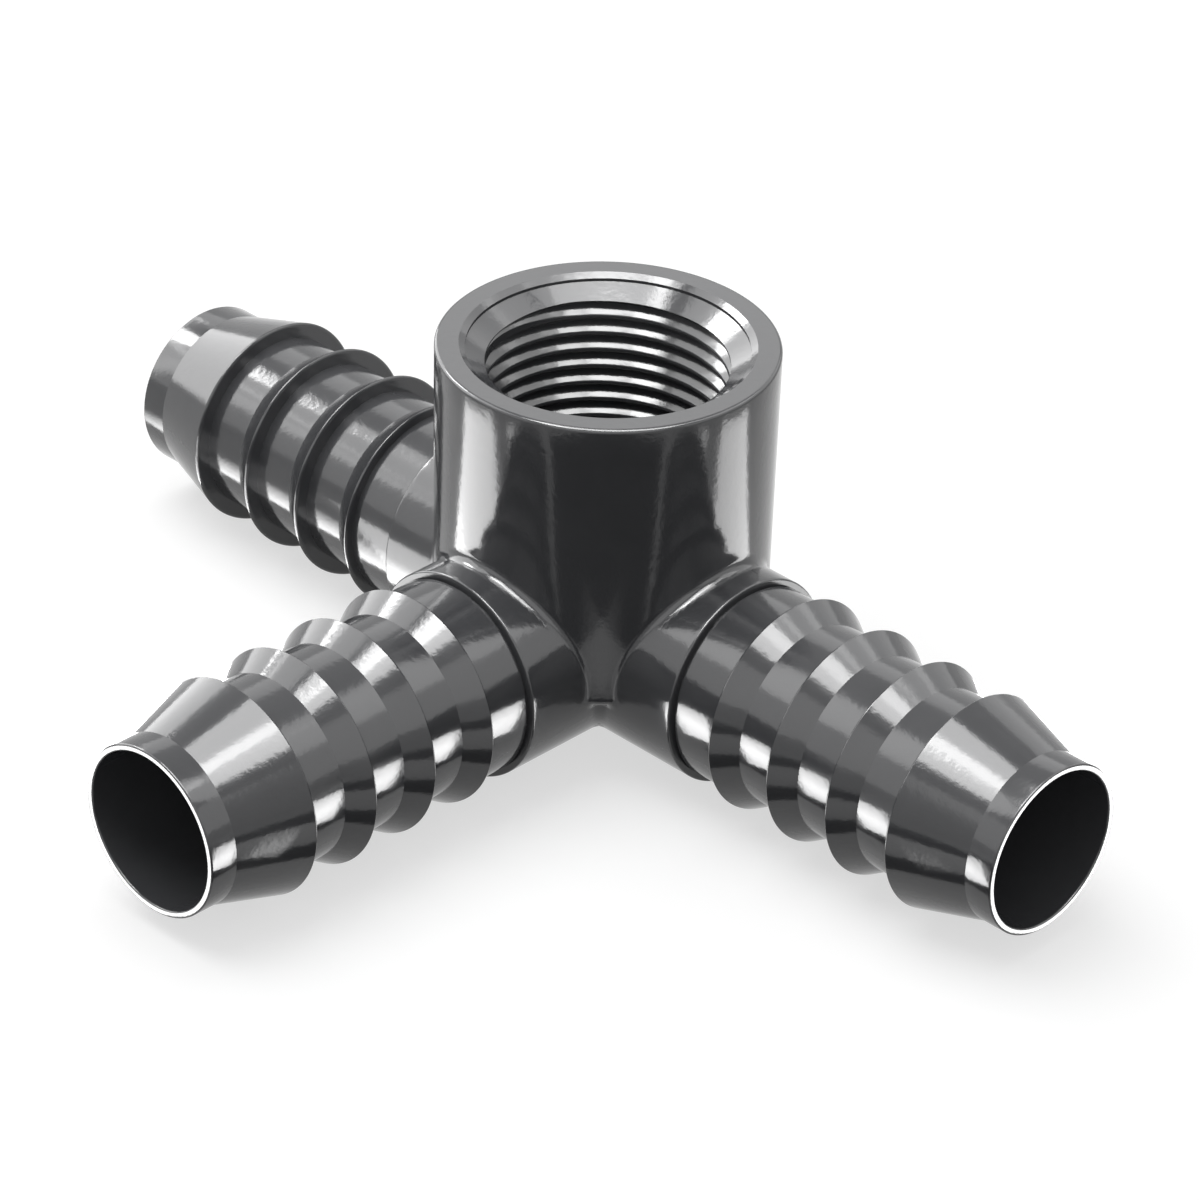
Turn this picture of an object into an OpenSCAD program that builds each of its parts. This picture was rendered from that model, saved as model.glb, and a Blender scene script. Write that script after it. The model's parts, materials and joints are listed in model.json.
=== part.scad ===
// Side outlet tee for hose and polyethylene pipe: three barbed spigots lie in one
// plane, and a threaded socket stands square to them. Moulded in one piece.
// X runs along the straight run, the branch points to -Y and the socket to +Z.
// The origin is where the axes of the run, the branch and the socket cross.

/* [Waterway] */
// Radius of the bore through the run and the branch
bore_r = 7.95; // [6:0.05:8.2]
// Radius of the port under the threaded socket
port_r = 7.95; // [5:0.05:8.2]

/* [Spigots] */
// Distance from the origin to the mouth of the run's two spigots
run_mouth = 58.3; // [56:0.1:90]
// Distance from the origin to the mouth of the branch's spigot
branch_mouth = 58.3; // [56:0.1:90]
// Number of barbs on a spigot
barbs = 4; // [2:1:4]
// Distance from one barb's ridge to the next
barb_pitch = 7.45; // [6.5:0.05:7.6]
// Radius over the barbs' ridges
ridge_r = 10.9; // [10.7:0.05:12]
// Length of the straight land on top of a ridge
ridge_land = 0.4; // [0.3:0.05:0.8]
// Rounding where a ridge's land meets its back face
ridge_edge = 0.2; // [0.05:0.05:0.3]
// Radius of the neck behind each barb
neck_r = 9.35; // [8.9:0.05:9.8]
// Length of the neck behind each barb
neck_l = 4.6; // [3:0.1:5]
// Radius of the wider neck behind the last barb
root_r = 9.95; // [9.4:0.05:10.3]

/* [Spigot nose] */
// Distance from the mouth to the first barb's back face
nose_to_ridge = 11.1; // [8:0.1:14]
// Length of the plain nose at the mouth
nose_l = 3; // [1.5:0.1:5]
// Radius of the plain nose
nose_r = 8.65; // [8.5:0.05:9.2]
// Rounding of the mouth's lip, outside and inside
lip_edge = 0.25; // [0.1:0.05:0.28]

/* [Hubs] */
// Radius of the hubs that carry the spigots
hub_r = 10.6; // [10.4:0.05:11.5]
// Distance from the origin to a hub's shoulder
hub_l = 19.6; // [18.5:0.1:22]
// Rounding of the hub's shoulder
hub_edge = 0.35; // [0.1:0.05:0.5]
// Radius of the fillets between the hubs and the socket
fillet_r = 1; // [0.6:0.1:1.6]

/* [Threaded socket] */
// Radius of the socket at its top
socket_r = 16.6; // [16.2:0.1:18]
// How much narrower the socket is at its foot
socket_draft = 0.25; // [0.1:0.05:0.5]
// Height of the socket's top above the origin
socket_top = 28.95; // [26:0.05:40]
// Depth of the socket's closed foot below the origin
socket_foot = 1.8; // [1.6:0.1:4]
// Rounding of the socket's top edges
rim_edge = 0.4; // [0.1:0.1:0.8]
// Rounding of the socket's foot
foot_edge = 0.8; // [0.5:0.1:1.4]
// Radius of the countersunk mouth at the socket's top
mouth_r = 13.8; // [13:0.1:15]
// Depth from the socket's top to the floor under the thread
thread_depth = 18; // [12:0.1:18.4]
// Radius of the wall at the thread's crests
thread_r = 11.7; // [10:0.1:12.6]
// Distance from one thread groove to the next, 14 to the inch
thread_pitch = 1.814; // [1.5:0.001:2.4]
// Depth of the thread's grooves
groove_depth = 1.42; // [0.8:0.02:1.6]
// Flat left on each crest between two grooves
crest_land = 0.26; // [0.2:0.02:0.6]
// Flat at the bottom of each groove
root_land = 0.12; // [0.06:0.02:0.3]
// Plain wall between the countersink and the first groove
thread_lead = 0.45; // [0.2:0.05:1]
// Least plain wall between the last groove and the floor
thread_end = 0.8; // [0.4:0.1:3]

/* [Colour] */
// Colour of the moulding
body_colour = [0.27, 0.27, 0.29];

/* [Hidden] */
$fn = 96;
// Steps in a small rounding
edge_steps = 4;
// Steps in a fillet's arc
arc_steps = 4;
// Steps of the fillets over a hub's top, round the socket's foot and down a crease
wall_steps = 24;
foot_steps = 3;
crease_steps = 16;
// How far a fillet sinks into the walls that it joins
bite = 0.035;
// How deep a fillet's root lies under those walls
root_depth = 0.5;
// Run-out of a cut past the face that it opens
past = 1;
// Ball that rolls in the corner, seen from a hub's axis
roll_r = hub_r + fillet_r;
socket_foot_r = socket_r - socket_draft;
// Depth of the 45 degree countersink, and the whole grooves that fit under it
sink = mouth_r - thread_r;
grooves = floor((thread_depth - sink - thread_lead - thread_end) / thread_pitch);
// The fillet between two hubs starts inside the socket, at this angle from +Z, and dives
// under the surface where the hubs' walls have turned to within crease_fade of one another
crease_start = 80;
crease_fade = 50;
crease_dive = 0.25;

// Arc of radius r round a centre, from angle a to angle b
function arc(centre, r, a, b) =
    [for (i = [0:edge_steps]) let (t = a + (b - a) * i / edge_steps)
        centre + r * [cos(t), sin(t)]];

// Outlines are lists of radius and distance from the origin. A barb's outline is its
// back face, the rounded ridge and the land: the slope to the mouth follows from it.
function barb_outline(z, foot_r) = concat(
    [[foot_r, z]],
    arc([ridge_r - ridge_edge, z + ridge_edge], ridge_edge, -90, 0),
    [[ridge_r, z + ridge_land]]);

// Outline of a spigot with its hub, from the origin to the mouth
function spigot_outline(mouth) =
    let (
        first = mouth - nose_to_ridge,
        last = first - (barbs - 1) * barb_pitch)
    concat(
        [[0, 0], [hub_r, 0]],
        arc([hub_r - hub_edge, hub_l - hub_edge], hub_edge, 0, 90),
        [[root_r, hub_l]],
        barb_outline(last, root_r),
        [for (z = [last + barb_pitch:barb_pitch:first + barb_pitch / 2])
            each concat([[neck_r, z - neck_l]], barb_outline(z, neck_r))],
        [[nose_r, mouth - nose_l]],
        arc([nose_r - lip_edge, mouth - lip_edge], lip_edge, 0, 90),
        [[0, mouth]]);

// Spigot and hub along +Z
module spigot(mouth) {
    rotate_extrude()
        polygon(spigot_outline(mouth));
}

// Bore of a spigot along +Z, opened by the rounded lip
module spigot_bore(mouth) {
    cylinder(r = bore_r, h = mouth + past);
    rotate_extrude()
        polygon(concat(
            [[0, mouth - lip_edge]],
            arc([bore_r + lip_edge, mouth - lip_edge], lip_edge, 180, 90),
            [[bore_r + lip_edge, mouth + past], [0, mouth + past]]));
}

// Turns a piece modelled along +Z to lie along +X, -X or -Y
module along_run(side) {
    rotate([0, side * 90, 0]) children();
}

module along_branch() {
    rotate([90, 0, 0]) children();
}

// The socket's outside
module socket_block() {
    rotate_extrude()
        polygon(concat(
            [[0, -socket_foot]],
            arc([socket_foot_r - foot_edge, foot_edge - socket_foot], foot_edge, -90, 0),
            arc([socket_r - rim_edge, socket_top - rim_edge], rim_edge, 0, 90),
            [[0, socket_top]]));
}

// Outline of the thread, upwards: its turns as level grooves in the socket's wall
function thread_outline(top) =
    let (half_mouth = (thread_pitch - crest_land) / 2)
    [for (k = [grooves - 1:-1:0]) let (z = top - (k + 0.5) * thread_pitch)
        each [
            [thread_r, z - half_mouth],
            [thread_r + groove_depth, z - root_land / 2],
            [thread_r + groove_depth, z + root_land / 2],
            [thread_r, z + half_mouth]]];

// The socket's inside: port, floor, thread and countersunk mouth
module socket_cut() {
    floor_z = socket_top - thread_depth;
    rotate_extrude()
        polygon(concat(
            [[0, 0], [port_r, 0], [port_r, floor_z], [thread_r, floor_z]],
            thread_outline(socket_top - sink - thread_lead),
            [[thread_r, socket_top - sink],
             [mouth_r + past, socket_top + past],
             [0, socket_top + past]]));
}

// Radius of the socket's wall at a height, between its two roundings
function wall_r(z) =
    let (
        low = foot_edge - socket_foot,
        high = socket_top - rim_edge)
    socket_foot_r + socket_draft * (z - low) / (high - low);

// A closed solid through a list of rings that have the same number of points
module ring_sweep(rings, closed) {
    n = len(rings[0]);
    last = len(rings) - 1;
    sides = [for (j = [0:closed ? last : last - 1]) for (i = [0:n - 1])
        let (
            a = j * n + i,
            b = j * n + (i + 1) % n,
            c = ((j + 1) % (last + 1)) * n + i,
            d = ((j + 1) % (last + 1)) * n + (i + 1) % n)
        each [[a, b, d], [a, d, c]]];
    caps = closed ? [] : [[for (i = [n - 1:-1:0]) i], [for (i = [0:n - 1]) last * n + i]];
    polyhedron(points = [for (r = rings) each r], faces = concat(sides, caps));
}

// Section of a fillet: the ball's arc between its two touching directions, and a root
// point under both walls
function fillet_ring(centre, u, v) =
    let (turn = acos(u * v))
    concat(
        [for (i = [0:arc_steps]) let (t = i / arc_steps)
            centre + (fillet_r + bite) * (sin((1 - t) * turn) * u + sin(t * turn) * v) / sin(turn)],
        [centre + (fillet_r + root_depth) * (u + v) / (1 + u * v)]);

// Where the ball rolls on the socket: distance from its axis, height, and the wall's
// slope as an angle, 0 on the wall and 90 under the foot
function roll_stations() =
    let (
        foot_angle = acos((foot_edge - socket_foot) / roll_r),
        top = [for (i = [0:wall_steps]) let (z = roll_r * cos(foot_angle * i / wall_steps))
            [wall_r(z) + fillet_r, z, 0]],
        round_foot = [for (i = [1:foot_steps]) let (t = 90 * i / foot_steps)
            [socket_foot_r - foot_edge + (foot_edge + fillet_r) * cos(t),
             foot_edge - socket_foot - (foot_edge + fillet_r) * sin(t), t]])
    concat(top, round_foot);

// Ring of the socket fillet on a hub along +X at one station, on the +Y or -Y side
function socket_ring(station, side) =
    let (
        s = station[0],
        z = station[1],
        y = side * sqrt(max(0, roll_r * roll_r - z * z)),
        x = sqrt(max(0, s * s - y * y)),
        t = station[2],
        to_hub = -[0, y, z] / roll_r,
        to_socket = [-x / s * cos(t), -y / s * cos(t), sin(t)])
    fillet_ring([x, y, z], to_hub, to_socket);

// Last ring of the socket fillet, under the foot and square to the hub's axis
function foot_ring(side) =
    let (
        z = -socket_foot - fillet_r,
        y = side * sqrt(roll_r * roll_r - z * z))
    fillet_ring([0, y, z], -[0, y, z] / roll_r, [0, 0, 1]);

function flip_x(ring) = [for (p = ring) [-p[0], p[1], p[2]]];

function turn_to_branch(ring) = [for (p = ring) [p[1], -p[0], p[2]]];

function backwards(list) = [for (i = [len(list) - 1:-1:0]) list[i]];

// Fillet round the socket where both ends of the run leave it: one closed loop
module run_fillet() {
    stations = roll_stations();
    far = [for (s = stations) socket_ring(s, 1)];
    near = [for (s = stations) socket_ring(s, -1)];
    ring_sweep(concat(
        backwards(near),
        [for (i = [1:len(far) - 1]) far[i]],
        [foot_ring(1)],
        [for (r = backwards(far)) flip_x(r)],
        [for (i = [1:len(near) - 1]) flip_x(near[i])],
        [foot_ring(-1)]), true);
}

// Fillet where the branch leaves the socket: its ends are buried in the run
module branch_fillet() {
    stations = roll_stations();
    rings = concat(
        [foot_ring(-1)],
        backwards([for (s = stations) socket_ring(s, -1)]),
        [for (i = [1:len(stations) - 1]) socket_ring(stations[i], 1)],
        [foot_ring(1)]);
    ring_sweep([for (r = rings) turn_to_branch(r)], false);
}

// Ring of the fillet between the branch and the run's +X end, at an angle from +Z
function crease_ring(t) =
    let (
        z = roll_r * cos(t),
        c = roll_r * sin(t))
    fillet_ring([c, -c, z], -[0, -c, z] / roll_r, -[c, 0, z] / roll_r);

// Fillet in the crease between the branch and the run's +X end
module crease_fillet() {
    end = 180 - acos(sqrt(cos(crease_fade)));
    step = (end - crease_start) / crease_steps;
    rings = [for (i = [0:crease_steps]) crease_ring(crease_start + step * i)];
    dive = crease_dive * [-1, 1, 1];
    buried = [for (p = crease_ring(end + step)) p + dive];
    ring_sweep(backwards(concat(rings, [buried])), false);
}

module tee_body() {
    color(body_colour)
        difference() {
            union() {
                socket_block();
                along_run(1) spigot(run_mouth);
                along_run(-1) spigot(run_mouth);
                along_branch() spigot(branch_mouth);
                run_fillet();
                branch_fillet();
                crease_fillet();
                mirror([1, 0, 0]) crease_fillet();
            }
            along_run(1) spigot_bore(run_mouth);
            along_run(-1) spigot_bore(run_mouth);
            along_branch() spigot_bore(branch_mouth);
            socket_cut();
        }
}

tee_body();
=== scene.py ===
import json
from math import cos, pi, radians, sin, tan

import bmesh
import bpy
import numpy as np
import openvdb
from mathutils import Matrix, Vector

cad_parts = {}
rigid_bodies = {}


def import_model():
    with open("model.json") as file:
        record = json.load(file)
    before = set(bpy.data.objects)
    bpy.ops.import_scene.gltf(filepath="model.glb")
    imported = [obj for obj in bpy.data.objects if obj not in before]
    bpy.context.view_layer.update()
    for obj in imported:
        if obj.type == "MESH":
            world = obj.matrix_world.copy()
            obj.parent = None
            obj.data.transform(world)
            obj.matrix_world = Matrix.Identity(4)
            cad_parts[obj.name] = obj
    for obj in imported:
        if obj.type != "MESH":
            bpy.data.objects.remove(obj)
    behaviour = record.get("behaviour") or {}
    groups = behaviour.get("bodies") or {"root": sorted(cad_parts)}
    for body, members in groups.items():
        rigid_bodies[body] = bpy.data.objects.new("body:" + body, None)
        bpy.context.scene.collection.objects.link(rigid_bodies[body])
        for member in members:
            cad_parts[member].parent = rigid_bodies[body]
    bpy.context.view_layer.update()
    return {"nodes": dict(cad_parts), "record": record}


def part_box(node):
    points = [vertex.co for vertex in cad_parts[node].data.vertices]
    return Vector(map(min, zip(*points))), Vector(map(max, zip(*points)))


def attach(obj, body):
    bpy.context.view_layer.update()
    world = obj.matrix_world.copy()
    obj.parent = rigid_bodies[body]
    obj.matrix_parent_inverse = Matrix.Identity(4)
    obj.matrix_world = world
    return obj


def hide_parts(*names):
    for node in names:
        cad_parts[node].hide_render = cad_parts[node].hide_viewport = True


for leftOver in list(bpy.data.objects):
    bpy.data.objects.remove(leftOver)
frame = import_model()
print("frame loaded:", ", ".join(sorted(frame["nodes"])))

# Everything is modelled in millimetres and becomes metres at the end
mm = 0.001
lowCorner, highCorner = [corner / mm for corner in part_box("tee_body")]
mountR = {m["name"]: m["dims"]["r_mm"] for m in frame["record"]["mounts"]}

# Three like spigots and their hubs
spigot = {
    "mouth": highCorner.x,
    "barbs": 4,
    "pitch": 7.45,
    "noseToRidge": 11.1,
    "noseLength": 3.0,
    "noseR": 8.65,
    "neckR": 9.35,
    "neckLength": 4.6,
    "rootR": 9.95,
    "ridgeR": mountR["branch_spigot"],
    "ridgeLand": 0.4,
    "ridgeEdge": 0.25,  # how far the ridge's rounded back reaches along the spigot
    "ridgeRound": 0.4,  # and how far it comes in towards the neck
    "lipEdge": 0.18,
    "hubR": 10.6,
    "hubLength": 19.6,
    "hubEdge": 0.2,
    "reliefDepth": 0.25,  # the fine groove at the foot of the hub's shoulder
    "reliefWidth": 0.3,
    "cutAt": 18.7,  # where the hub's blended skin ends and the turned spigot starts
    "boreR": mountR["run_bore"],
}

# The threaded socket that stands on the hubs
socket = {
    "top": highCorner.z,
    "foot": -1.8,
    "topR": highCorner.y,
    "draft": 0.25,
    "footEdge": 0.8,
    "rimEdge": 0.4,
    "cutAt": 12.8,
    "rimR": 14.25,  # inner edge of the flat rim
    "bevelDepth": 0.44,
    "chamferR": 13.65,
    "stepDepth": 0.76,  # foot of the short step between bevel and chamfer
    "chamferDepth": 2.05,
    "floor": highCorner.z - 18.0,
    "mouthCrestR": 11.83,
    "floorCrestR": 11.27,
}

# A 3/4 inch taper pipe thread with 14 turns to the inch
thread = {
    "pitch": 1.814,
    "turns": 7.9,
    "flank": 38.0,  # degrees between a flank and the plane across the socket
    "rootFlat": 0.08,
    "crestFlat": 0.06,
    "crestRound": 0.18,
    "crestSteps": 4,
    "past": 0.12,  # how far the groove's section stands out of the wall
    "top": highCorner.z - 2.26,
    "leadIn": 0.022,  # share of the helix over which the groove fades in
    "runOut": 0.03,
    "tip": 0.02,  # share of the section that is left at the groove's ends
    "start": 214.0,  # degrees round the socket at which the groove comes to its point
    "stepsPerTurn": 96,
}

# How fine the meshes are, and where they are joined and cut
mesh = {
    "around": 192,
    "arcSteps": 8,
    "voxelsAcross": 112,
    "voxelsBeyond": 4,
    "settleRounds": 4,  # how often a corner of the blended skin moves towards its surface
    "onSurface": 0.004,  # a corner this near to the surface takes its normal from it
    "fillet": 1.0,
    "sharpAngle": 13.0,  # an edge of a turned part that turns more than this is crisp
    "blendAngle": 33.0,  # the same for the blended skin, whose fillets have fewer steps
    "seam": 0.35,  # width of the strip that joins the blended skin to a turned ring
    "seamReach": 0.05,  # how far past that strip an edge still counts as the hub's
    "wallRings": 6,
    "rimStrip": 0.1,
    "weld": 0.01,
    "overshoot": 1.0,  # how far a cutter stands out of what it cuts
}


def newObject(name, bm):
    data = bpy.data.meshes.new(name)
    bm.to_mesh(data)
    bm.free()
    obj = bpy.data.objects.new(name, data)
    bpy.context.scene.collection.objects.link(obj)
    return obj


def removeObject(obj):
    data = obj.data
    bpy.data.objects.remove(obj)
    bpy.data.meshes.remove(data)


# Outlines are lists of (radius, height) pairs
def arc(centreR, centreZ, radius, fromDeg, toDeg):
    steps = mesh["arcSteps"]
    angles = [radians(fromDeg + (toDeg - fromDeg) * i / steps) for i in range(steps + 1)]
    return [(centreR + radius * cos(a), centreZ + radius * sin(a)) for a in angles]


def barbOutline(z, footR):
    s = spigot
    top = z + s["ridgeLand"]
    back = [(s["ridgeR"] - s["ridgeRound"] * (1 - r), top + s["ridgeEdge"] * h)
            for r, h in arc(0, 0, 1, -90, 0)]
    return [(footR, top - s["ridgeEdge"])] + back


# Turns an outline about Z. A point on the axis becomes the centre of a fan.
def turned(name, outline):
    around = mesh["around"]
    bm = bmesh.new()
    rings = []
    for r, z in outline:
        if r < 1e-6:
            rings.append([bm.verts.new((0, 0, z))])
        else:
            angles = [2 * pi * i / around for i in range(around)]
            rings.append([bm.verts.new((r * cos(a), r * sin(a), z)) for a in angles])
    for lower, upper in zip(rings, rings[1:]):
        for i in range(around):
            j = (i + 1) % around
            corners = [ring[k % len(ring)] for ring, k in ((lower, i), (lower, j), (upper, j), (upper, i))]
            bm.faces.new(list(dict.fromkeys(corners)))
    return newObject(name, bm)


def newTree(name, inputs):
    tree = bpy.data.node_groups.new(name, "GeometryNodeTree")
    tree.interface.new_socket("Geometry", in_out="INPUT", socket_type="NodeSocketGeometry")
    for label, kind in inputs:
        tree.interface.new_socket(label, in_out="INPUT", socket_type="NodeSocket" + kind)
    tree.interface.new_socket("Geometry", in_out="OUTPUT", socket_type="NodeSocketGeometry")
    return tree, tree.nodes.new("NodeGroupInput"), tree.nodes.new("NodeGroupOutput")


def addNode(tree, kind, inputs=None, **settings):
    node = tree.nodes.new(kind)
    for key, value in settings.items():
        setattr(node, key, value)
    for key, value in (inputs or {}).items():
        if isinstance(value, bpy.types.NodeSocket):
            tree.links.new(value, node.inputs[key])
        else:
            node.inputs[key].default_value = value
    return node


def calc(tree, operation, a, b=0.0, c=0.0):
    return addNode(tree, "ShaderNodeMath", {0: a, 1: b, 2: c}, operation=operation).outputs[0]


# Puts a tree on an object, bakes the result to a plain mesh and drops the modifier
def bakeTree(obj, tree, values):
    modifier = obj.modifiers.new(tree.name, "NODES")
    modifier.node_group = tree
    for item in tree.interface.items_tree:
        if item.in_out == "INPUT" and item.name in values:
            modifier[item.identifier] = values[item.name]
    depsgraph = bpy.context.evaluated_depsgraph_get()
    baked = bpy.data.meshes.new_from_object(obj.evaluated_get(depsgraph))
    baked.name = obj.name
    obj.modifiers.remove(modifier)
    old = obj.data
    obj.data = baked
    bpy.data.meshes.remove(old)
    return obj


# Barbs repeated down a spigot, and the spigot repeated round the tee
def spigotTree():
    tree, given, result = newTree("spigots", [
        ("Root", "Object"), ("Nose", "Object"), ("Barbs", "Int"), ("First barb", "Float"),
        ("Pitch", "Float"), ("Arms", "Int"), ("First turn", "Float"), ("Turn", "Float"),
        ("Weld", "Float"), ("Material", "Material")])
    down = calc(tree, "MULTIPLY", given.outputs["Pitch"], -1.0)
    step = addNode(tree, "ShaderNodeCombineXYZ", {"Z": down})
    first = addNode(tree, "ShaderNodeCombineXYZ", {"Z": given.outputs["First barb"]})
    places = addNode(tree, "GeometryNodeMeshLine", {
        "Count": calc(tree, "SUBTRACT", given.outputs["Barbs"], 1.0),
        "Start Location": first.outputs[0], "Offset": step.outputs[0]})
    row = addNode(tree, "GeometryNodeInstanceOnPoints", {
        "Points": places.outputs[0], "Instance": given.outputs["Geometry"]})
    root = addNode(tree, "GeometryNodeObjectInfo", {"Object": given.outputs["Root"]})
    nose = addNode(tree, "GeometryNodeObjectInfo", {"Object": given.outputs["Nose"]})
    joined = addNode(tree, "GeometryNodeJoinGeometry")
    for part in (row.outputs[0], root.outputs["Geometry"], nose.outputs["Geometry"]):
        tree.links.new(part, joined.inputs[0])
    spigotMesh = addNode(tree, "GeometryNodeRealizeInstances", {0: joined.outputs[0]})
    welded = addNode(tree, "GeometryNodeMergeByDistance", {
        "Geometry": spigotMesh.outputs[0], "Distance": given.outputs["Weld"]})
    arms = addNode(tree, "GeometryNodeMeshLine", {"Count": given.outputs["Arms"], "Offset": (0, 0, 0)})
    index = addNode(tree, "GeometryNodeInputIndex")
    turn = calc(tree, "MULTIPLY_ADD", index.outputs[0], given.outputs["Turn"], given.outputs["First turn"])
    angles = addNode(tree, "ShaderNodeCombineXYZ", {"X": pi / 2, "Z": turn})
    rotation = addNode(tree, "FunctionNodeEulerToRotation", {0: angles.outputs[0]})
    star = addNode(tree, "GeometryNodeInstanceOnPoints", {
        "Points": arms.outputs[0], "Instance": welded.outputs[0], "Rotation": rotation.outputs[0]})
    real = addNode(tree, "GeometryNodeRealizeInstances", {0: star.outputs[0]})
    painted = addNode(tree, "GeometryNodeSetMaterial", {
        "Geometry": real.outputs[0], "Material": given.outputs["Material"]})
    tree.links.new(painted.outputs[0], result.inputs[0])
    return tree


def makeSpigots(material):
    s = spigot
    firstBarb = s["mouth"] - s["noseToRidge"]
    lastBarb = firstBarb - (s["barbs"] - 1) * s["pitch"]
    ridgeTop = s["ridgeLand"] - s["pitch"]
    # One barb: the slope down from the barb before it, the neck, the step and the ridge
    slope = [(s["ridgeR"], ridgeTop), (s["neckR"], -s["neckLength"])]
    barb = turned("barb", slope + barbOutline(0, s["neckR"]))
    # The hub's end with its shoulder, the fine groove at its foot and the last barb
    shoulder = arc(s["hubR"] - s["hubEdge"], s["hubLength"] - s["hubEdge"], s["hubEdge"], 0, 90)
    reliefR = s["rootR"] - s["reliefDepth"]
    reliefEnd = s["hubLength"] + s["reliefWidth"]
    relief = [(reliefR, s["hubLength"]), (reliefR, reliefEnd), (s["rootR"], reliefEnd)]
    root = turned("root", [(s["hubR"], s["cutAt"] + mesh["seam"])] + shoulder + relief
                  + barbOutline(lastBarb, s["rootR"]))
    # The cone from the first ridge to the lip, closed until the bore is cut out
    cone = [(s["ridgeR"], firstBarb + s["ridgeLand"]), (s["noseR"], s["mouth"] - s["noseLength"])]
    lip = arc(s["noseR"] - s["lipEdge"], s["mouth"] - s["lipEdge"], s["lipEdge"], 0, 90)
    nose = turned("nose", cone + lip + [(0, s["mouth"])])
    arms = bakeTree(barb, spigotTree(), {
        "Root": root, "Nose": nose, "Barbs": s["barbs"], "First barb": firstBarb, "Pitch": s["pitch"],
        "Arms": 3, "First turn": -pi / 2, "Turn": pi / 2, "Weld": mesh["weld"], "Material": material})
    removeObject(root)
    removeObject(nose)
    return arms


# Distances to the plain forms of the hub, for an array of points
def runDistance(p):
    return np.hypot(p[:, 1], p[:, 2]) - spigot["hubR"]


def branchDistance(p):
    side = np.hypot(p[:, 0], p[:, 2]) - spigot["hubR"]
    end = p[:, 1]
    return np.minimum(np.maximum(side, end), 0) + np.hypot(np.maximum(side, 0), np.maximum(end, 0))


def socketDistance(p):
    edge = socket["footEdge"]
    rise = (p[:, 2] - socket["foot"] - edge) / (socket["top"] - socket["foot"] - edge - socket["rimEdge"])
    wall = np.hypot(p[:, 0], p[:, 1]) - socket["topR"] + socket["draft"] * (1 - rise) + edge
    foot = socket["foot"] - p[:, 2] + edge
    return np.minimum(np.maximum(wall, foot), 0) + np.hypot(np.maximum(wall, 0), np.maximum(foot, 0)) - edge


def gradient(distance, p):
    nudge = 1e-3
    steps = np.eye(3) * nudge
    g = np.stack([distance(p + s) - distance(p - s) for s in steps], axis=1)
    return g / np.maximum(np.linalg.norm(g, axis=1, keepdims=True), 1e-9)


# Joins two forms with the fillet that a ball leaves when it rolls along their corner.
# u and v say how far a point is under the two offset faces, and c how the faces turn to one another.
def filleted(first, second, radius):
    def distance(p):
        a, b = first(p), second(p)
        d = np.minimum(a, b)
        near = (a < radius) & (b < radius)
        if near.any():
            q = p[near]
            c = np.sum(gradient(first, q) * gradient(second, q), axis=1)
            c = np.clip(c, -0.999, 0.999)
            u, v = radius - a[near], radius - b[near]
            reach = np.sqrt(np.maximum(u * u + v * v - 2 * u * v * c, 0) / (1 - c * c))
            inCorner = (u > v * c) & (v > u * c)
            d[near] = np.where(inCorner, radius - reach, d[near])
        return d
    return distance


def hubDistance():
    hubs = filleted(runDistance, branchDistance, mesh["fillet"])
    return filleted(hubs, socketDistance, mesh["fillet"])


# The blended skin of the hub: a surface drawn from the distances, cut open where the turned parts join it
def hubSkin():
    distance = hubDistance()
    # The grid has a layer of its points on each cut, so that no cut leaves a sliver
    step = 2 * spigot["cutAt"] / mesh["voxelsAcross"]
    margin = mesh["voxelsBeyond"] * step
    depth = step * np.ceil((socket["cutAt"] + spigot["hubR"]) / step)
    low = np.array([-spigot["cutAt"], -spigot["cutAt"], socket["cutAt"] - depth]) - margin
    high = np.array([spigot["cutAt"], socket["topR"], socket["cutAt"]]) + margin
    counts = np.ceil((high - low) / step).astype(int)
    axes = [low[k] + step * np.arange(counts[k]) for k in range(3)]
    points = np.stack(np.meshgrid(*axes, indexing="ij"), axis=-1).reshape(-1, 3)
    plain = np.minimum(np.minimum(runDistance(points), branchDistance(points)), socketDistance(points))
    nearby = np.abs(plain) < 2 * mesh["fillet"]  # further out the fillets change nothing
    plain[nearby] = distance(points[nearby])
    grid = openvdb.FloatGrid(background=float(plain.max()))
    grid.copyFromArray(plain.reshape(counts).astype(np.float32))
    corners, triangles, quads = grid.convertToPolygons(isovalue=0.0, adaptivity=0.0)
    corners = np.array(corners, dtype=float) * step + low
    bm = bmesh.new()
    verts = [bm.verts.new(c) for c in corners]
    for face in list(np.array(quads)) + list(np.array(triangles)):
        bm.faces.new([verts[i] for i in face])
    for normal, at in (((1, 0, 0), spigot["cutAt"]), ((-1, 0, 0), spigot["cutAt"]),
                       ((0, -1, 0), spigot["cutAt"]), ((0, 0, 1), socket["cutAt"])):
        bmesh.ops.bisect_plane(bm, geom=bm.verts[:] + bm.edges[:] + bm.faces[:], dist=1e-4,
                               plane_co=Vector(normal) * at, plane_no=normal, clear_outer=True)
    settled = np.array([v.co for v in bm.verts])
    for _ in range(mesh["settleRounds"]):
        settled -= distance(settled)[:, None] * gradient(distance, settled)
    for v, place in zip(bm.verts, settled):
        v.co = place
    print("hub skin:", len(bm.faces), "faces")
    return bm


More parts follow.
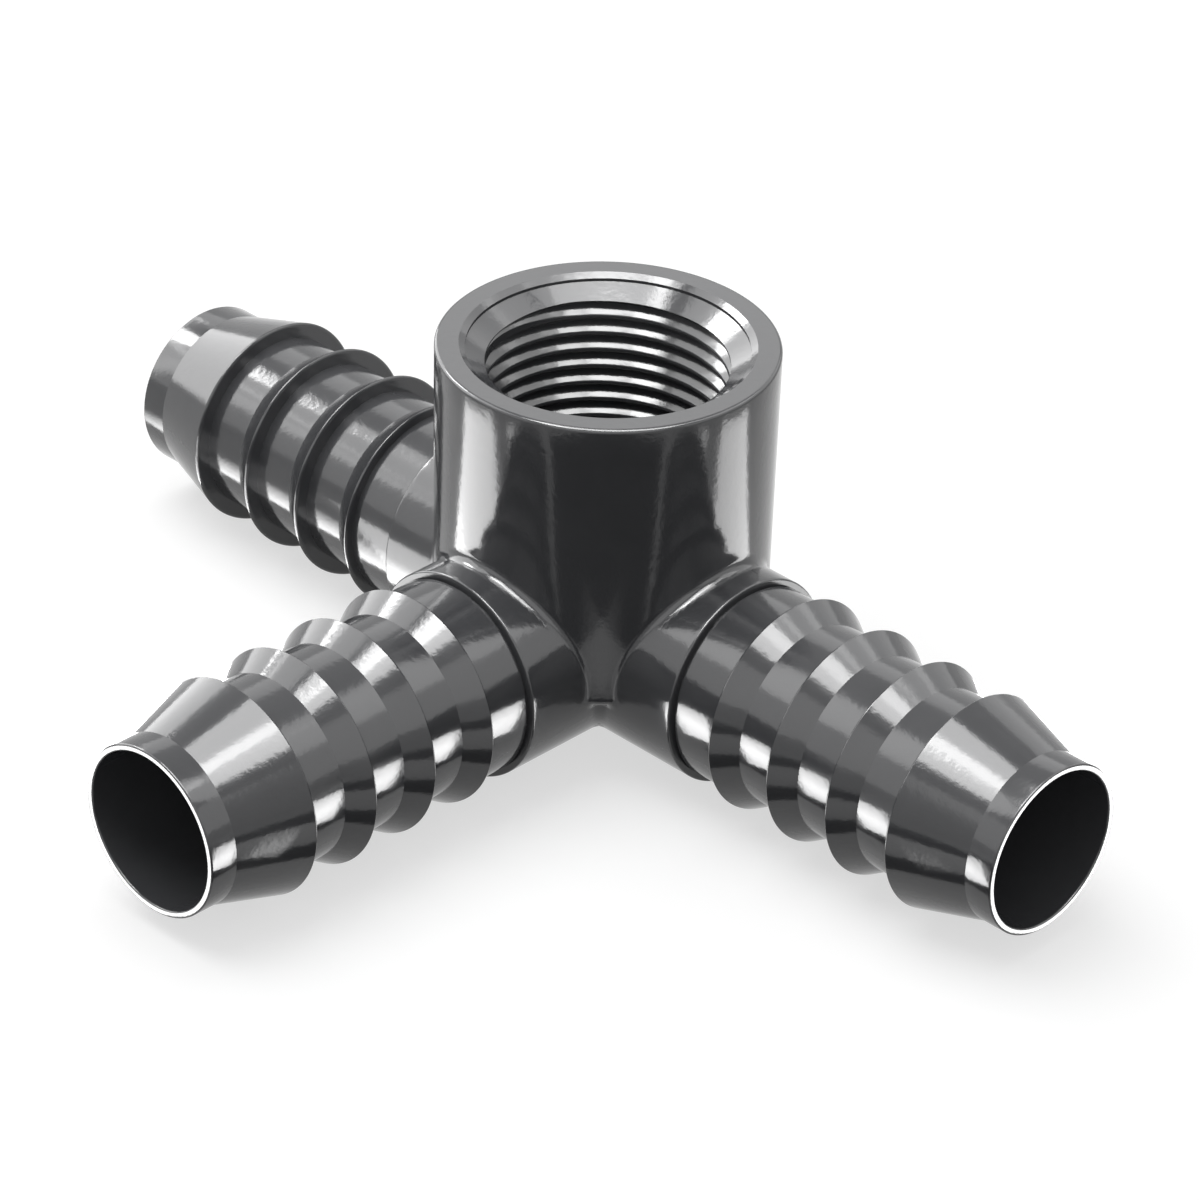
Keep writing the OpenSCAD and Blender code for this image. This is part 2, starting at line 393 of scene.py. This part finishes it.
# The socket above the cut, closed over its mouth until the cavity is cut out
def socketOutline():
    edge = socket["rimEdge"]
    r = socket["topR"]
    top = socket["top"]
    start = socket["cutAt"] + mesh["seam"]
    wallLength = top - edge - socket["foot"] - socket["footEdge"]
    startR = r - socket["draft"] * (top - edge - start) / wallLength
    rings = mesh["wallRings"]
    wall = [(startR + (r - startR) * i / rings, start + (top - edge - start) * i / rings)
            for i in range(rings)]
    return wall + arc(r - edge, top - edge, edge, 0, 90) + [(r - edge - mesh["rimStrip"], top), (0, top)]


# The open edges in loops, in the same order each run, which a set wouldn't keep
def boundaryLoops(bm):
    left = dict.fromkeys(e for e in bm.edges if e.is_boundary)
    loops = []
    while left:
        loop = [left.popitem()[0]]
        ends = list(loop[0].verts)
        while ends:
            for e in ends.pop().link_edges:
                if e in left:
                    del left[e]
                    loop.append(e)
                    ends.extend(e.verts)
        loops.append(loop)
    return loops


def centreOf(loop):
    return sum((v.co for e in loop for v in e.verts), Vector()) / (2 * len(loop))


# Bridges each open ring of the hub's skin to the turned part that faces it
def joinSkins(bm, others):
    for other in others:
        bm.from_mesh(other.data)
        removeObject(other)
    loops = boundaryLoops(bm)
    while loops:
        loop = loops.pop()
        centre = centreOf(loop)
        mate = min(loops, key=lambda other: (centreOf(other) - centre).length)
        loops.remove(mate)
        bmesh.ops.bridge_loops(bm, edges=loop + mate)
    bmesh.ops.recalc_face_normals(bm, faces=bm.faces)
    return newObject("teeBody", bm)


def boreOutline(mouth, startZ):
    r = spigot["boreR"]
    edge = spigot["lipEdge"]
    end = mouth + mesh["overshoot"]
    lip = arc(r + edge, mouth - edge, edge, 180, 90)
    return [(0, startZ), (r, startZ)] + lip + [(r + edge, end), (0, end)]


def runBoreOutline():
    half = boreOutline(spigot["mouth"], 0)[2:]
    return [(r, -z) for r, z in reversed(half)] + half


# The tapered wall that the thread's crests lie in
def crestRadius(depth):
    s = socket
    return s["mouthCrestR"] - depth * (s["mouthCrestR"] - s["floorCrestR"]) / (s["top"] - s["floor"])


def cavityOutline():
    s = socket
    end = s["top"] + mesh["overshoot"]
    return [(0, 0), (spigot["boreR"], 0), (spigot["boreR"], s["floor"]), (s["floorCrestR"], s["floor"]),
            (crestRadius(s["chamferDepth"]), s["top"] - s["chamferDepth"]),
            (s["chamferR"], s["top"] - s["stepDepth"]), (s["chamferR"], s["top"] - s["bevelDepth"]),
            (s["rimR"], s["top"]), (s["rimR"], end), (0, end)]


# The groove's section, with its depth along X: rounded crests, straight flanks and a narrow root
def makeSection():
    t = thread
    flank = radians(t["flank"])
    edge = (t["pitch"] - t["crestFlat"]) / 2
    roundDepth = t["crestRound"] * (1 - sin(flank))
    flankWidth = edge - t["crestRound"] * cos(flank) - t["rootFlat"] / 2
    depth = roundDepth + flankWidth / tan(flank)
    side = [(-t["past"], edge)]
    for i in range(t["crestSteps"] + 1):
        angle = (pi / 2 - flank) * i / t["crestSteps"]
        side.append((t["crestRound"] * (1 - cos(angle)), edge - t["crestRound"] * sin(angle)))
    side.append((depth, t["rootFlat"] / 2))
    bm = bmesh.new()
    verts = [bm.verts.new((x, y, 0)) for x, y in side + [(x, -y) for x, y in reversed(side)]]
    for i in range(len(verts)):
        bm.edges.new((verts[i - 1], verts[i]))
    print("thread depth:", round(depth, 2), "mm")
    return newObject("grooveSection", bm)


# The thread's groove: its section swept up a tapered helix, which shrinks to a point at both ends
def grooveTree():
    tree, given, result = newTree("threadGroove", [
        ("Section", "Object"), ("Turns", "Float"), ("Steps", "Int"), ("Bottom radius", "Float"),
        ("Top radius", "Float"), ("Height", "Float"), ("Lead in", "Float"), ("Run out", "Float"),
        ("Tip", "Float"), ("Place", "Vector"), ("Turn", "Vector"), ("Material", "Material")])
    helix = addNode(tree, "GeometryNodeCurveSpiral", {
        "Resolution": given.outputs["Steps"], "Rotations": given.outputs["Turns"],
        "Start Radius": given.outputs["Bottom radius"], "End Radius": given.outputs["Top radius"],
        "Height": given.outputs["Height"], "Reverse": True})
    upright = addNode(tree, "GeometryNodeSetCurveNormal", {"Curve": helix.outputs[0]}, mode="Z_UP")
    along = addNode(tree, "GeometryNodeSplineParameter").outputs["Factor"]
    fadeOut = calc(tree, "DIVIDE", along, given.outputs["Run out"])
    fadeIn = calc(tree, "DIVIDE", calc(tree, "SUBTRACT", 1.0, along), given.outputs["Lead in"])
    fade = calc(tree, "MINIMUM", calc(tree, "MINIMUM", fadeIn, fadeOut), 1.0)
    fade = calc(tree, "MAXIMUM", fade, given.outputs["Tip"])
    section = addNode(tree, "GeometryNodeObjectInfo", {"Object": given.outputs["Section"]})
    outline = addNode(tree, "GeometryNodeMeshToCurve", {0: section.outputs["Geometry"]})
    swept = addNode(tree, "GeometryNodeCurveToMesh", {
        "Curve": upright.outputs[0], "Profile Curve": outline.outputs[0], "Scale": fade, "Fill Caps": True})
    rotation = addNode(tree, "FunctionNodeEulerToRotation", {0: given.outputs["Turn"]})
    placed = addNode(tree, "GeometryNodeTransform", {
        "Geometry": swept.outputs[0], "Translation": given.outputs["Place"],
        "Rotation": rotation.outputs[0]})
    real = addNode(tree, "GeometryNodeRealizeInstances", {0: placed.outputs[0]})
    painted = addNode(tree, "GeometryNodeSetMaterial", {
        "Geometry": real.outputs[0], "Material": given.outputs["Material"]})
    tree.links.new(painted.outputs[0], result.inputs[0])
    return tree


def makeGroove(material):
    t = thread
    height = t["turns"] * t["pitch"]
    depth = socket["top"] - t["top"]
    turn = radians(t["start"]) - 2 * pi * t["turns"]
    section = makeSection()
    groove = bakeTree(newObject("groove", bmesh.new()), grooveTree(), {
        "Section": section, "Turns": t["turns"], "Steps": t["stepsPerTurn"],
        "Bottom radius": crestRadius(depth + height), "Top radius": crestRadius(depth),
        "Height": height, "Lead in": t["leadIn"], "Run out": t["runOut"], "Tip": t["tip"],
        "Place": (0, 0, t["top"] - height), "Turn": (0, 0, turn), "Material": material})
    removeObject(section)
    bm = bmesh.new()
    bm.from_mesh(groove.data)
    bmesh.ops.recalc_face_normals(bm, faces=bm.faces)
    bm.to_mesh(groove.data)
    bm.free()
    return groove


def cut(body, cutter):
    modifier = body.modifiers.new("cut", "BOOLEAN")
    modifier.operation = "DIFFERENCE"
    modifier.solver = "MANIFOLD"
    modifier.object = cutter
    depsgraph = bpy.context.evaluated_depsgraph_get()
    result = bpy.data.meshes.new_from_object(body.evaluated_get(depsgraph))
    body.modifiers.remove(modifier)
    old = body.data
    body.data = result
    bpy.data.meshes.remove(old)
    print("cut", cutter.name + ":", len(result.vertices), "vertices")
    removeObject(cutter)


# Smooth all over but for the crisp edges of the turned outlines and the bores
def shadeEdges(data, skin):
    bm = bmesh.new()
    bm.from_mesh(data)
    sharp, blend = radians(mesh["sharpAngle"]), radians(mesh["blendAngle"])
    reach = spigot["cutAt"] + mesh["seam"] + mesh["seamReach"]
    ceiling = socket["cutAt"] + mesh["seam"] + mesh["seamReach"]
    for face in bm.faces:
        face.smooth = True
    for e in bm.edges:
        at = (e.verts[0].co + e.verts[1].co) / 2
        inHub = abs(at.x) < reach and at.y > -reach and at.z < ceiling
        e.smooth = e.calc_face_angle(0) < (blend if inHub else sharp)
    bm.to_mesh(data)
    bm.free()
    # The blended skin and the strips round it take the normals of the surface they are drawn from
    places = np.array([v.co for v in data.vertices])
    exact = np.zeros(len(places), dtype=bool)
    inHub = (np.abs(places[:, 0]) < reach) & (places[:, 1] > -reach) & (places[:, 2] < ceiling)
    exact[inHub] = np.abs(skin(places[inHub])) < mesh["onSurface"]
    for e in data.edges:
        if e.use_edge_sharp:
            exact[list(e.vertices)] = False
    normals = np.array([n.vector for n in data.corner_normals])
    corners = np.array([loop.vertex_index for loop in data.loops])
    surface = np.zeros((len(places), 3))
    surface[exact] = gradient(skin, places[exact])
    normals[exact[corners]] = surface[corners[exact[corners]]]
    data.normals_split_custom_set(normals)
    print("exact normals:", int(exact.sum()), "vertices")


# Dark grey PVC with the gloss of a polished mould
pvc = {
    "colour": (0.055, 0.056, 0.060),
    "pale": (0.070, 0.071, 0.075),
    "roughness": (0.10, 0.16),
    "specular": 0.5,
    "flowSize": 0.007,  # metres across one flow mark
    "grainSize": 0.0007,
    "flowDepth": 0.35,  # share of the height that the flow marks have, the rest being grain
    "bumpDepth": 0.00002,
}


def newGroup(name, inputs, outputs):
    group = bpy.data.node_groups.new(name, "ShaderNodeTree")
    for label in inputs:
        group.interface.new_socket(label, in_out="INPUT", socket_type="NodeSocketFloat")
    for label in outputs:
        group.interface.new_socket(label, in_out="OUTPUT", socket_type="NodeSocketFloat")
    return group, group.nodes.new("NodeGroupInput"), group.nodes.new("NodeGroupOutput")


# Flow marks and the fine grain that plastic takes from its mould
def mouldSkinGroup():
    inputs = ["Flow size", "Grain size", "Flow depth"]
    group, given, result = newGroup("mouldSkin", inputs, ["Flow", "Height"])
    place = addNode(group, "ShaderNodeTexCoord").outputs["Object"]
    flow = addNode(group, "ShaderNodeTexNoise", {
        "Vector": place, "Scale": calc(group, "DIVIDE", 1.0, given.outputs["Flow size"]),
        "Detail": 3.0, "Roughness": 0.55, "Distortion": 0.6})
    grain = addNode(group, "ShaderNodeTexNoise", {
        "Vector": place, "Scale": calc(group, "DIVIDE", 1.0, given.outputs["Grain size"]),
        "Detail": 2.0, "Roughness": 0.6})
    flowPart = calc(group, "MULTIPLY", flow.outputs["Fac"], given.outputs["Flow depth"])
    rest = calc(group, "SUBTRACT", 1.0, given.outputs["Flow depth"])
    height = calc(group, "MULTIPLY_ADD", grain.outputs["Fac"], rest, flowPart)
    group.links.new(flow.outputs["Fac"], result.inputs["Flow"])
    group.links.new(height, result.inputs["Height"])
    return group


def makePvc():
    material = bpy.data.materials.new("greyPvc")
    material.use_nodes = True
    tree = material.node_tree
    shader = tree.nodes["Principled BSDF"]
    shader.inputs["Specular IOR Level"].default_value = pvc["specular"]
    skin = addNode(tree, "ShaderNodeGroup", node_tree=mouldSkinGroup())
    skin.inputs["Flow size"].default_value = pvc["flowSize"]
    skin.inputs["Grain size"].default_value = pvc["grainSize"]
    skin.inputs["Flow depth"].default_value = pvc["flowDepth"]
    colour = addNode(tree, "ShaderNodeMix", {0: skin.outputs["Flow"]}, data_type="RGBA")
    colour.inputs["A"].default_value = (*pvc["colour"], 1)
    colour.inputs["B"].default_value = (*pvc["pale"], 1)
    tree.links.new(colour.outputs["Result"], shader.inputs["Base Color"])
    low, high = pvc["roughness"]
    rough = addNode(tree, "ShaderNodeMapRange", {
        "Value": skin.outputs["Flow"], "To Min": low, "To Max": high})
    tree.links.new(rough.outputs["Result"], shader.inputs["Roughness"])
    bump = addNode(tree, "ShaderNodeBump", {"Height": skin.outputs["Height"], "Distance": pvc["bumpDepth"]})
    tree.links.new(bump.outputs["Normal"], shader.inputs["Normal"])
    return material


def makeTee():
    plastic = makePvc()
    spigots = makeSpigots(plastic)
    top = turned("socketTop", socketOutline())
    body = joinSkins(hubSkin(), [spigots, top])
    print("closed skin:", len(body.data.polygons), "faces")
    runBore = turned("runBore", runBoreOutline())
    runBore.data.transform(Matrix.Rotation(pi / 2, 4, "Y"))
    cut(body, runBore)
    branchBore = turned("branchBore", boreOutline(spigot["mouth"], 0))
    branchBore.data.transform(Matrix.Rotation(pi / 2, 4, "X"))
    cut(body, branchBore)
    cut(body, turned("cavity", cavityOutline()))
    cut(body, makeGroove(plastic))
    shadeEdges(body.data, hubDistance())
    body.data.transform(Matrix.Scale(mm, 4))
    body.data.materials.clear()
    body.data.materials.append(plastic)
    return body


# Camera as the photo has it, in degrees and millimetres
camera = {
    "azimuth": 43.986,
    "elevation": 32.081,
    "roll": 1.754,
    "distance": 504.6,
    "lens": 154.44,
    "sensor": 36,
    "right": -0.055,
    "up": 0.092,
}


def placeCamera():
    azimuth, elevation = radians(camera["azimuth"]), radians(camera["elevation"])
    data = bpy.data.cameras.new("camera")
    data.sensor_width = camera["sensor"]
    data.lens = camera["lens"]
    data.clip_start = 0.01
    data.clip_end = 20
    obj = bpy.data.objects.new("camera", data)
    bpy.context.scene.collection.objects.link(obj)
    back = Vector((sin(azimuth) * cos(elevation), -cos(azimuth) * cos(elevation), sin(elevation)))
    turn = back.to_track_quat("Z", "Y").to_matrix().to_4x4()
    turn = turn @ Matrix.Rotation(radians(camera["roll"]), 4, "Z")
    aim = turn @ Vector((camera["right"], camera["up"], 0))
    obj.matrix_world = Matrix.Translation((back * camera["distance"] + aim) * mm) @ turn
    bpy.context.scene.camera = obj


# A white floor that runs out of every view
floor = {
    "size": 6000.0,
    "colour": (0.42, 0.42, 0.42),
    "bounce": (0.12, 0.12, 0.12),  # the floor's colour for the soft light that it throws back
    "fill": 0.62,  # white that is added for the rays that show the floor
    "roughness": 0.9,
    "under": 0.02,  # gap below the spigots' ridges
}


def showsRoom(tree):
    rays = addNode(tree, "ShaderNodeLightPath")
    seen = calc(tree, "MAXIMUM", rays.outputs["Is Camera Ray"], rays.outputs["Is Glossy Ray"])
    return calc(tree, "MAXIMUM", seen, rays.outputs["Is Transmission Ray"])


def makeFloor():
    half = floor["size"] / 2
    bm = bmesh.new()
    corners = [bm.verts.new((x, y, lowCorner.z - floor["under"])) for x, y in
               ((-half, -half), (half, -half), (half, half), (-half, half))]
    bm.faces.new(corners)
    obj = newObject("floor", bm)
    obj.data.transform(Matrix.Scale(mm, 4))
    material = bpy.data.materials.new("whiteFloor")
    material.use_nodes = True
    tree = material.node_tree
    shader = tree.nodes["Principled BSDF"]
    shader.inputs["Roughness"].default_value = floor["roughness"]
    shader.inputs["Specular IOR Level"].default_value = 0.0
    shader.inputs["Emission Color"].default_value = (1, 1, 1, 1)
    seen = showsRoom(tree)
    colour = addNode(tree, "ShaderNodeMix", {0: seen}, data_type="RGBA")
    colour.inputs["A"].default_value = (*floor["bounce"], 1)
    colour.inputs["B"].default_value = (*floor["colour"], 1)
    tree.links.new(colour.outputs["Result"], shader.inputs["Base Color"])
    tree.links.new(calc(tree, "MULTIPLY", seen, floor["fill"]), shader.inputs["Emission Strength"])
    obj.data.materials.append(material)


# Soft light from all round; rays that show the room see plain white
studio = {
    "ambient": 0.5,
    "backdrop": 1.0,
}


def makeWorld():
    world = bpy.data.worlds.new("studio")
    world.use_nodes = True
    tree = world.node_tree
    strength = addNode(tree, "ShaderNodeMapRange", {
        "Value": showsRoom(tree), "To Min": studio["ambient"], "To Max": studio["backdrop"]})
    background = tree.nodes["Background"]
    background.inputs["Color"].default_value = (1, 1, 1, 1)
    tree.links.new(strength.outputs["Result"], background.inputs["Strength"])
    bpy.context.scene.world = world


# A light faces its aim point from a distance (mm), at a bearing from the camera (to the camera's
# right) and an elevation. look is how bright its face is, where white is 1, and spread how far it
# fans out in degrees. A card is seen only in the gloss, so it puts no light on the colour.
plainCard = {
    "aim": (0, 0, 0),
    "distance": 600,
    "spread": 180,
    "card": True,
}

lights = {
    "softbox": {"bearing": -110, "elevation": 72, "distance": 700, "size": (600, 600), "look": 3.2,
                "card": False},
    "zenithCard": {"bearing": -30, "elevation": 87, "size": (420, 360), "look": 9.0},
    "frontCard": {"aim": (0, 0, 20), "bearing": 0, "elevation": 70, "size": (700, 260), "look": 12.0},
    "frontFill": {"bearing": 0, "elevation": 28, "size": (800, 380), "look": 1.4},
    "leftFill": {"bearing": -126, "elevation": 22, "size": (700, 420), "look": 4.2},
    "rightFill": {"bearing": 125, "elevation": 28, "size": (500, 340), "look": 1.3},
    "leftSide": {"bearing": -74, "elevation": 22, "size": (560, 320), "look": 1.1},
    "rightSide": {"bearing": 74, "elevation": 22, "size": (560, 320), "look": 1.1},
    "leftHigh": {"aim": (0, 0, 20), "bearing": -104, "elevation": 47, "size": (420, 240), "look": 4.0},
    "rightHigh": {"aim": (0, 0, 20), "bearing": 104, "elevation": 47, "size": (420, 240), "look": 3.0},
    "rightTop": {"aim": (0, 0, 20), "bearing": 76, "elevation": 62, "size": (300, 150), "look": 4.5},
    "sideCard": {"aim": (30, 0, 0), "bearing": -72, "elevation": 67, "size": (240, 110), "look": 14.0},
    "back": {"aim": (0, 0, 20), "bearing": 180, "elevation": 33, "distance": 620, "size": (420, 220),
             "look": 1.4},
    "window": {"aim": (-35, 0, 0), "bearing": -129, "elevation": 40, "size": (150, 190), "look": 20.0},
    "leftCard": {"aim": (-32.5, -42.6, 1.6), "bearing": -90, "elevation": -84, "distance": 10,
                 "size": (32, 44), "look": 7.5},
    "rightCard": {"aim": (42.3, 32, 1.6), "bearing": 90, "elevation": -84, "distance": 10,
                  "size": (28, 44), "look": 5.0},
    "branchMouth": {"aim": (0, -58.05, 0), "bearing": -88, "elevation": -32, "distance": 7.5,
                    "size": (22, 17), "look": 19.0, "spread": 50},
    "runMouth": {"aim": (58.05, 0, 0), "bearing": 92, "elevation": -32, "distance": 7.5,
                 "size": (22, 17), "look": 19.0, "spread": 50},
    "runStrip": {"aim": (36, -9, -5), "bearing": -44, "elevation": -8, "distance": 14,
                 "size": (46, 8), "look": 1.8, "spread": 120},
    "branchStrip": {"aim": (9, -36, -5), "bearing": 46, "elevation": -8, "distance": 14,
                    "size": (46, 8), "look": 1.8, "spread": 120},
    "farCard": {"aim": (-50, -20, 0), "bearing": -44, "elevation": -78, "distance": 8.5,
                "size": (60, 16), "look": 30.0, "spread": 112},
}

# Small cards for the front spigots, one by each neck and one by each lip
neckCards = {
    "at": (22.1, 29.7, 37.2, 44.6, 56.5),  # how far along the spigot
    "above": 1.0,
    "bearing": 81,
    "elevation": -26,
    "distance": 12.0,
    "size": (3.6, 7.5),
    "look": 19.0,
    "spread": 56,
}


def bearingVector(bearing, elevation):
    around = radians(camera["azimuth"] + bearing)
    level = cos(radians(elevation))
    return Vector((sin(around) * level, -cos(around) * level, sin(radians(elevation))))


def makeLight(name, settings):
    light = {**plainCard, **settings}
    width, height = [side * mm for side in light["size"]]
    data = bpy.data.lights.new(name, "AREA")
    data.shape = "RECTANGLE"
    data.size = width
    data.size_y = height
    data.spread = radians(light["spread"])
    half = data.spread / 2
    data.energy = light["look"] * pi * width * height * (1 - half / tan(half))
    obj = bpy.data.objects.new(name, data)
    bpy.context.scene.collection.objects.link(obj)
    away = bearingVector(light["bearing"], light["elevation"])
    place = Vector(light["aim"]) + away * light["distance"]
    obj.matrix_world = Matrix.Translation(place * mm) @ away.to_track_quat("Z", "Y").to_matrix().to_4x4()
    obj.visible_camera = False
    obj.visible_diffuse = not light["card"]
    obj.visible_glossy = light["card"]


def makeLights():
    for name, settings in lights.items():
        makeLight(name, settings)
    side, up = spigot["neckR"], neckCards["above"]
    for i, at in enumerate(neckCards["at"]):
        mirrored = {"aim": (at, -side, up), "bearing": -neckCards["bearing"]}
        makeLight(f"runNeck{i}", {**neckCards, **mirrored})
        makeLight(f"branchNeck{i}", {**neckCards, "aim": (side, -at, up)})
    print("studio:", len(lights) + 2 * len(neckCards["at"]), "lights")


# A black flag on the floor between the front spigots. It is seen only in the gloss, where it darkens
# the socket's front.
flag = {
    "from": 16.0,
    "to": 90.0,
    "above": 0.1,
    "colour": (0.01, 0.01, 0.01),
}


def makeFlag():
    near, far = flag["from"], flag["to"]
    bm = bmesh.new()
    bm.faces.new([bm.verts.new((x, y, lowCorner.z + flag["above"])) for x, y in
                  ((near, -far), (far, -far), (far, -near), (near, -near))])
    obj = newObject("flag", bm)
    obj.data.transform(Matrix.Scale(mm, 4))
    material = bpy.data.materials.new("blackFlag")
    material.use_nodes = True
    shader = material.node_tree.nodes["Principled BSDF"]
    shader.inputs["Base Color"].default_value = (*flag["colour"], 1)
    shader.inputs["Roughness"].default_value = 1.0
    shader.inputs["Specular IOR Level"].default_value = 0.0
    obj.data.materials.append(material)
    obj.visible_camera = False
    obj.visible_diffuse = False
    obj.visible_transmission = False
    obj.visible_shadow = False


placeCamera()
tee = makeTee()
print("tee:", len(tee.data.polygons), "faces,", len(tee.data.vertices), "vertices")
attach(tee, "root")
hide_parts("tee_body")

makeFloor()
makeFlag()
makeWorld()
makeLights()

bpy.context.scene.view_settings.view_transform = "Standard"
